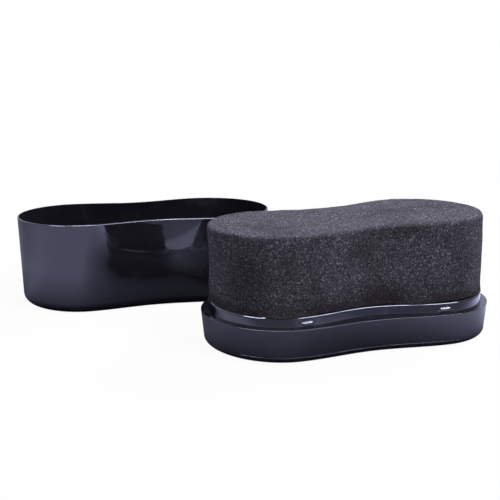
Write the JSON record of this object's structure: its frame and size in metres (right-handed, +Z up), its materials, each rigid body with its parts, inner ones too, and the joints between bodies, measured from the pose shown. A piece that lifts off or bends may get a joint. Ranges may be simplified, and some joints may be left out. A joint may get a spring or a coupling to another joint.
{
  "type": "shoe shine sponge",
  "caption": "Waisted foam shoe shine sponge on a moulded base with a polish reservoir, its push-on cap standing mouth up beside it.",
  "frame": {"origin": "middle of the base's flat underside, on the surface that the base and the cap stand on", "axes": "+X along the base's length, +Y from the base towards the cap, +Z up"},
  "size_m": [0.1665, 0.151, 0.0462],
  "materials": {
    "black_plastic": "moulded, glossy",
    "foam": "open-cell foam, cut",
    "felt": "pressed felt, soaked",
    "glue": "hot-melt bead"
  },
  "bodies": {
    "base": {"base_shell": "black_plastic", "base_plate": "black_plastic", "reservoir_pad": "felt", "feed_plate": "black_plastic", "sponge_glue": "glue", "sponge": "foam"},
    "cap": {"cap": "black_plastic"}
  },
  "joints": [
    {"name": "cap_lift", "type": "slide", "parent": "base", "child": "cap", "axis": [0, 0, 1], "range_m": [0, 0.055]}
  ]
}
